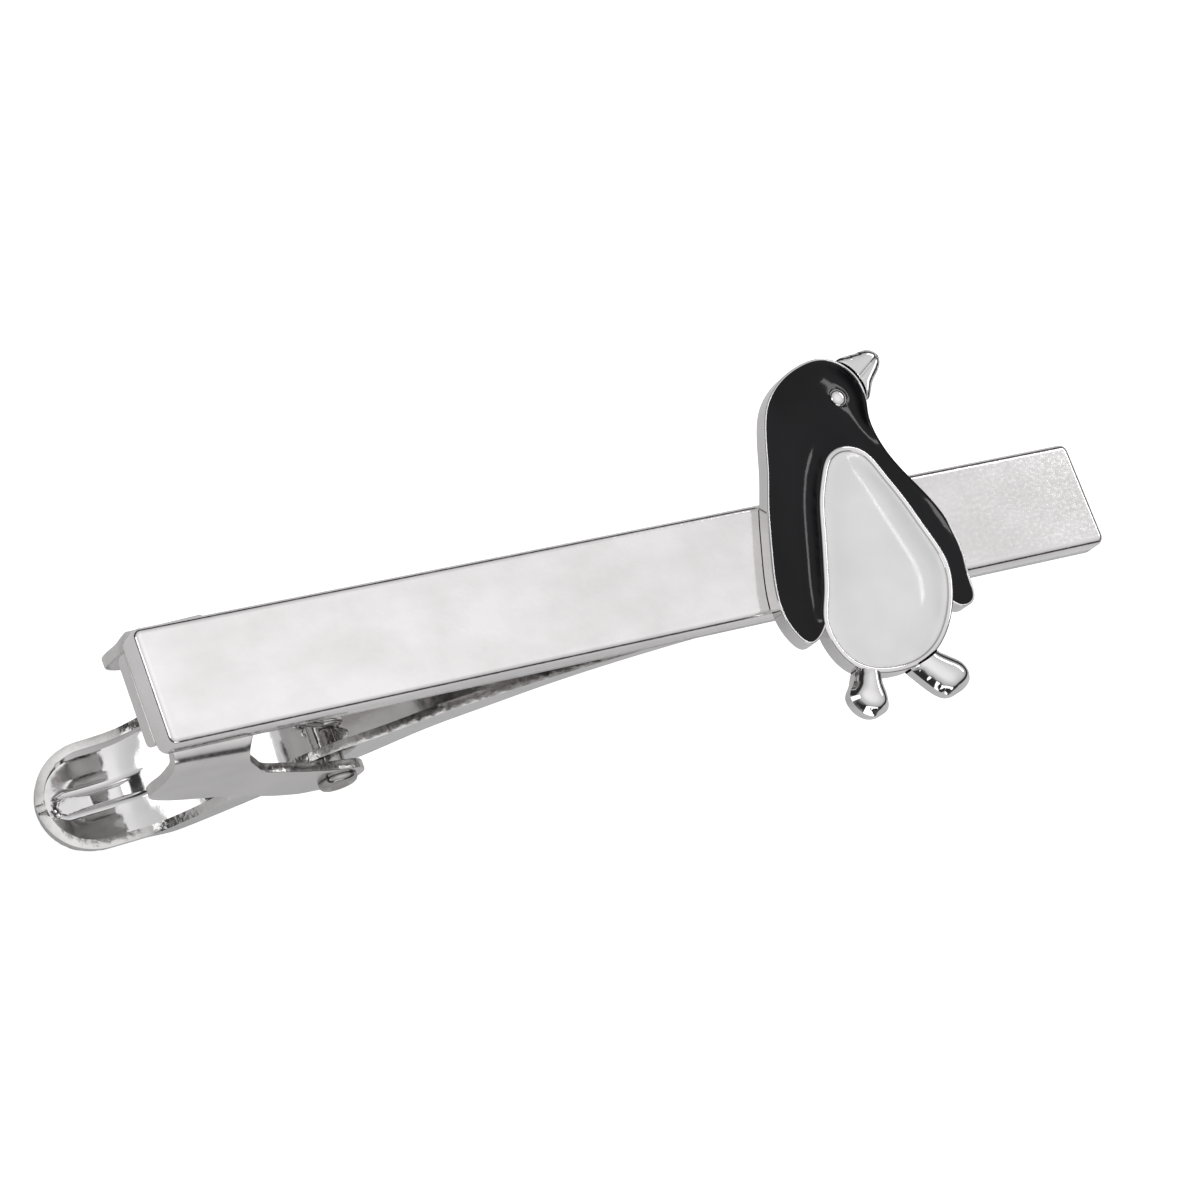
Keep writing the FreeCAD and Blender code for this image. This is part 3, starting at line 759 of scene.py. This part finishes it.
def spring_path():
    """Fixed leg, coil round the rivet, moving leg."""
    height = COIL_TURNS * COIL_PITCH
    count = COIL_TURNS * POINTS_PER_TURN
    coil = []
    for k in range(2, count - 1):
        a = 2 * math.pi * k / POINTS_PER_TURN
        coil.append((PIVOT[0] + COIL_RADIUS * math.cos(a), -height / 2 + height * k / count,
                     PIVOT[1] - COIL_RADIUS * math.sin(a)))
    return spring_leg(-1, FIXED_LEG_END)[::-1] + coil + spring_leg(1, MOVING_LEG_END)


spring = make_mesh("spring_coil", tube(spring_path(), WIRE_RADIUS), None, "torsion_spring",
                   SPRING_METAL, angle=60)
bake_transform(spring)

# ---------------------------------------------------------------- penguin
body_loop = closed_curve(BODY_OUTLINE, 300)
belly_loop = closed_curve(BELLY_OUTLINE, 240)
beak_loop = closed_curve(BEAK_OUTLINE, 90)
foot_loops = [closed_curve(LEFT_FOOT_OUTLINE, 80), closed_curve(RIGHT_FOOT_OUTLINE, 80)]
RIM_ROUND, RIM_WALL_TOP = 0.12, 0.14
BELLY_RIM_LIFT = 0.05
THIN_RIM = 0.02
THIN_X, THIN_Y = 16.3, (-0.5, 7.4)
BACK_GRID = 0.8
MOUTH_START, MOUTH_END = np.array([16.9, 8.75]), np.array([18.75, 9.85])
MOUTH_DEPTH, MOUTH_HALF = 0.10, 0.07
EYE_SIDES = 36
EYE_SHOULDER, EYE_RISE = 2.80, 0.42
EYE_GAP = 0.01


def rim_rows(loop, width, top):
    """Upright outer wall, half-round rim, inner wall. width may vary along the loop."""
    profile = [(0.0, FIGURE_BACK), (0.0, top - RIM_WALL_TOP)]
    profile += [(0.5 - 0.5 * math.cos(a), top - RIM_ROUND + RIM_ROUND * math.sin(a))
                for a in np.linspace(0, math.pi, 11)]
    profile += [(1.0, CELL_FLOOR)]
    return [at_height(inward(loop, width * off), z) for off, z in profile]


# the rim is ground thin where the neck meets the right wing
thin = (body_loop[:, 0] > THIN_X) & (body_loop[:, 1] > THIN_Y[0]) & (body_loop[:, 1] < THIN_Y[1])
body_width = np.where(thin, THIN_RIM, BODY_RIM)
for _ in range(12):
    body_width = 0.5 * body_width + 0.25 * (np.roll(body_width, 1) + np.roll(body_width, -1))
body_width = body_width[:, None]


def casting_shape():
    """Raised rims round the body and the belly, and the flat backs."""
    shape = Shape()
    inner = inside(inward(belly_loop, 0.2), body_loop)
    shape.rows(rim_rows(body_loop, body_width, FIGURE_RIM), skip=inner)
    shape.rows(rim_rows(belly_loop, BELLY_RIM, FIGURE_RIM + BELLY_RIM_LIFT))
    for loop in (body_loop, belly_loop, beak_loop, *foot_loops):
        shape.cap(loop, FIGURE_BACK, BACK_GRID, up=False)
    return shape


make_mesh("figure_rims", casting_shape(), "bar", "penguin_casting", CHROME, angle=50)


def raised(loop, wall_top, rise, reach, spacing, rounds, behind, change=None):
    """Domed piece on an upright wall, left open where it runs into the loop behind it."""
    shape = Shape()
    hidden = inside(behind, loop)
    shape.rows([at_height(loop, FIGURE_BACK), at_height(loop, wall_top)], skip=hidden)
    verts, faces, rim = filled(loop, spacing, cuts=[behind])
    centre = np.array([verts[f].mean(axis=0) for f in faces])
    faces = [f for f, under in zip(faces, inside(behind, centre)) if not under]
    t = np.clip(rim / reach, 0, 1)
    z = wall_top + rise * np.sqrt(np.clip(1 - (1 - t) ** 2, 0, 1))
    z = relaxed(z, faces, rim, rounds)
    if change is not None:
        z = z + change(verts)
    shape.add(np.column_stack([verts, z]), faces)
    return shape


def mouth(verts):
    """Depth of the thin line between the two halves of the beak."""
    edge = MOUTH_END - MOUTH_START
    t = np.clip((verts - MOUTH_START) @ edge / (edge @ edge), 0, 1)
    away = np.linalg.norm(verts - (MOUTH_START + t[:, None] * edge), axis=1)
    return -MOUTH_DEPTH * np.exp(-((away / MOUTH_HALF) ** 2))


beak = raised(beak_loop, wall_top=FIGURE_RIM - 0.1, rise=0.22, reach=0.5, spacing=0.09, rounds=6,
              behind=body_loop, change=mouth)
make_mesh("beak", beak, "bar", "penguin_casting", CHROME, angle=60)
for name, loop in zip(("foot_left", "foot_right"), foot_loops):
    foot = raised(loop, wall_top=FIGURE_RIM - 0.35, rise=0.72, reach=1.0, spacing=0.12, rounds=10,
                  behind=belly_loop)
    make_mesh(name, foot, "bar", "penguin_casting", CHROME, angle=80)


def circle(radius, sides):
    """Points round the eye's centre."""
    return [(EYE[0] + radius * math.cos(a), EYE[1] + radius * math.sin(a))
            for a in 2 * math.pi * np.arange(sides) / sides]


def eye_shape():
    """Upright post with a polished dome."""
    profile = [(EYE_RADIUS, CELL_FLOOR), (EYE_RADIUS, EYE_SHOULDER)]
    profile += [(EYE_RADIUS * math.cos(a), EYE_SHOULDER + EYE_RISE * math.sin(a))
                for a in np.radians(np.linspace(8, 88, 12))]
    shape = Shape()
    rows = [at_height(np.array(circle(r, EYE_SIDES)), z) for r, z in profile]
    shape.rows(rows)
    shape.add(rows[-1], [list(range(EYE_SIDES))])
    return shape


make_mesh("eye_bead", eye_shape(), "bar", "penguin_casting", CHROME, angle=60)

eye_ring = np.array(circle(EYE_RADIUS + EYE_GAP, EYE_SIDES))
# enamel domes: rise, distance over which it rises, grid spacing, rounds of smoothing
BLACK_RISE, BLACK_REACH, BLACK_GRID, BLACK_ROUNDS = 0.55, 2.2, 0.14, 120
WHITE_RISE, WHITE_REACH, WHITE_GRID, WHITE_ROUNDS = 0.70, 3.6, 0.25, 60
WHITE_LAP = 0.02


def black_shape():
    """Domed fill over the body, without the belly and the eye."""
    shape = Shape()
    loop = inward(body_loop, body_width)
    verts, faces, _ = filled(loop, BLACK_GRID, [eye_ring], [belly_loop])
    centre = np.array([verts[f].mean(axis=0) for f in faces])
    faces = [f for f, under in zip(faces, inside(belly_loop, centre)) if not under]
    rim = np.minimum(distance_to(loop, verts), distance_to(belly_loop, verts))
    t = np.clip(rim / BLACK_REACH, 0, 1)
    z = ENAMEL_EDGE + BLACK_RISE * (2 * t - t * t)
    z = relaxed(z, faces, rim, BLACK_ROUNDS)
    shape.add(np.column_stack([verts, z]), faces)
    return shape


make_mesh("black_fill_dome", black_shape(), "bar", "black_enamel", BLACK, angle=80)


def white_shape():
    """Domed fill inside the belly rim."""
    shape = Shape()
    loop = inward(belly_loop, BELLY_RIM - WHITE_LAP)
    verts, faces, rim = filled(loop, WHITE_GRID)
    t = np.clip(rim / WHITE_REACH, 0, 1)
    z = ENAMEL_EDGE + WHITE_RISE * np.sqrt(np.clip(1 - (1 - t) ** 2, 0, 1))
    z = relaxed(z, faces, rim, WHITE_ROUNDS)
    shape.add(np.column_stack([verts, z]), faces)
    return shape


make_mesh("white_fill_dome", white_shape(), "bar", "white_enamel", WHITE, angle=80)

# ---------------------------------------------------------------- kept CAD nodes
for node in ("bracket_solder", "figure_solder"):
    for obj in bpy.data.objects:
        if obj.type == "MESH" and obj.name.split(".")[0] == node:
            for place in obj.material_slots:
                place.material = SOLDER_METAL

# ---------------------------------------------------------------- stage, light, camera
FLOOR_HALF = 1.5
FLOOR_TONE = 0.74
FLOOR_GLOW = 0.75
BACKDROP_TONE = 0.85
floor_z = cad_bounds[0][2]
floor_corners = [(-1, -1), (1, -1), (1, 1), (-1, 1)]
floor_mesh = bpy.data.meshes.new("floor")
floor_mesh.from_pydata([(x * FLOOR_HALF, y * FLOOR_HALF, floor_z) for x, y in floor_corners],
                       [], [[0, 1, 2, 3]])
floor = bpy.data.objects.new("floor", floor_mesh)
bpy.context.scene.collection.objects.link(floor)
floor_material = bpy.data.materials.new("floor_pale")
floor_material.use_nodes = True
floor_nodes, floor_links = floor_material.node_tree.nodes, floor_material.node_tree.links
floor_shader = floor_nodes["Principled BSDF"]
floor_shader.inputs["Base Color"].default_value = (FLOOR_TONE, FLOOR_TONE, FLOOR_TONE, 1)
floor_shader.inputs["Roughness"].default_value = 0.8
floor_shader.inputs["Specular IOR Level"].default_value = 0.0
floor_shader.inputs["Emission Color"].default_value = (1, 1, 1, 1)
path = floor_nodes.new("ShaderNodeLightPath")
glow = floor_nodes.new("ShaderNodeMath")
glow.operation = "MULTIPLY"
glow.inputs[1].default_value = FLOOR_GLOW
floor_links.new(path.outputs["Is Camera Ray"], glow.inputs[0])
floor_links.new(glow.outputs["Value"], floor_shader.inputs["Emission Strength"])
floor_mesh.materials.append(floor_material)

world = bpy.data.worlds.new("studio")
bpy.context.scene.world = world
world.use_nodes = True
wn, wl = world.node_tree.nodes, world.node_tree.links
sky = wn["Background"]
direction = wn.new("ShaderNodeTexCoord")
split = wn.new("ShaderNodeSeparateXYZ")
sky_ramp = wn.new("ShaderNodeValToRGB")
wl.new(direction.outputs["Generated"], split.inputs[0])
wl.new(split.outputs["Z"], sky_ramp.inputs["Fac"])
# studio walls, as brightness against the height that a reflection points to
tones = [(0.0, 0.20), (0.10, 0.03), (0.30, 0.03), (0.44, 0.50), (0.62, 0.64), (0.74, 0.72),
         (0.86, 0.88), (1.0, 0.98)]
ramp = sky_ramp.color_ramp
while len(ramp.elements) < len(tones):
    ramp.elements.new(0.5)
for element, (position, tone) in zip(ramp.elements, tones):
    element.position = position
    element.color = (tone, tone, tone * 1.01, 1)
backdrop = wn.new("ShaderNodeMix")
backdrop.data_type = "RGBA"
backdrop.inputs["B"].default_value = (BACKDROP_TONE, BACKDROP_TONE, BACKDROP_TONE, 1)
seen = wn.new("ShaderNodeLightPath")
wl.new(seen.outputs["Is Camera Ray"], backdrop.inputs["Factor"])
wl.new(sky_ramp.outputs["Color"], backdrop.inputs["A"])
wl.new(backdrop.outputs["Result"], sky.inputs["Color"])
sky.inputs["Strength"].default_value = 1.25


def softbox(name, place, size, power):
    """Soft panel at a place in metres, turned to the origin."""
    lamp = bpy.data.lights.new(name, "AREA")
    lamp.shape = "RECTANGLE"
    lamp.size, lamp.size_y = size
    lamp.energy = power
    obj = bpy.data.objects.new(name, lamp)
    obj.location = place
    obj.rotation_euler = (-Vector(place)).to_track_quat("-Z", "Y").to_euler()
    bpy.context.scene.collection.objects.link(obj)


softbox("soft_strip", (0.45, 0.18, 0.354), (0.36, 0.04), 0.30)
softbox("soft_left", (-0.60, 0.10, 0.26), (0.30, 0.20), 0.30)
softbox("soft_front", (-0.05, -0.60, 0.16), (0.50, 0.10), 0.34)

camera_data = bpy.data.cameras.new("camera")
camera_data.lens = 120.0
camera_data.sensor_width = 36.0
camera_data.clip_start = 0.001
camera = bpy.data.objects.new("camera", camera_data)
# camera axes and place (mm) from the perspective of the bar's edges
right = Vector((0.819341, -0.342695, 0.459610))
down = Vector((-0.171489, -0.911475, -0.373905))
forward = Vector((0.547058, 0.227538, -0.805577))
turn = Matrix((right, -down, -forward)).transposed()
camera.matrix_world = Matrix.Translation(Vector((-117.174, -47.564, 168.647)) * MM) @ turn.to_4x4()
bpy.context.scene.collection.objects.link(camera)
bpy.context.scene.camera = camera
bpy.context.scene.view_settings.view_transform = "Standard"
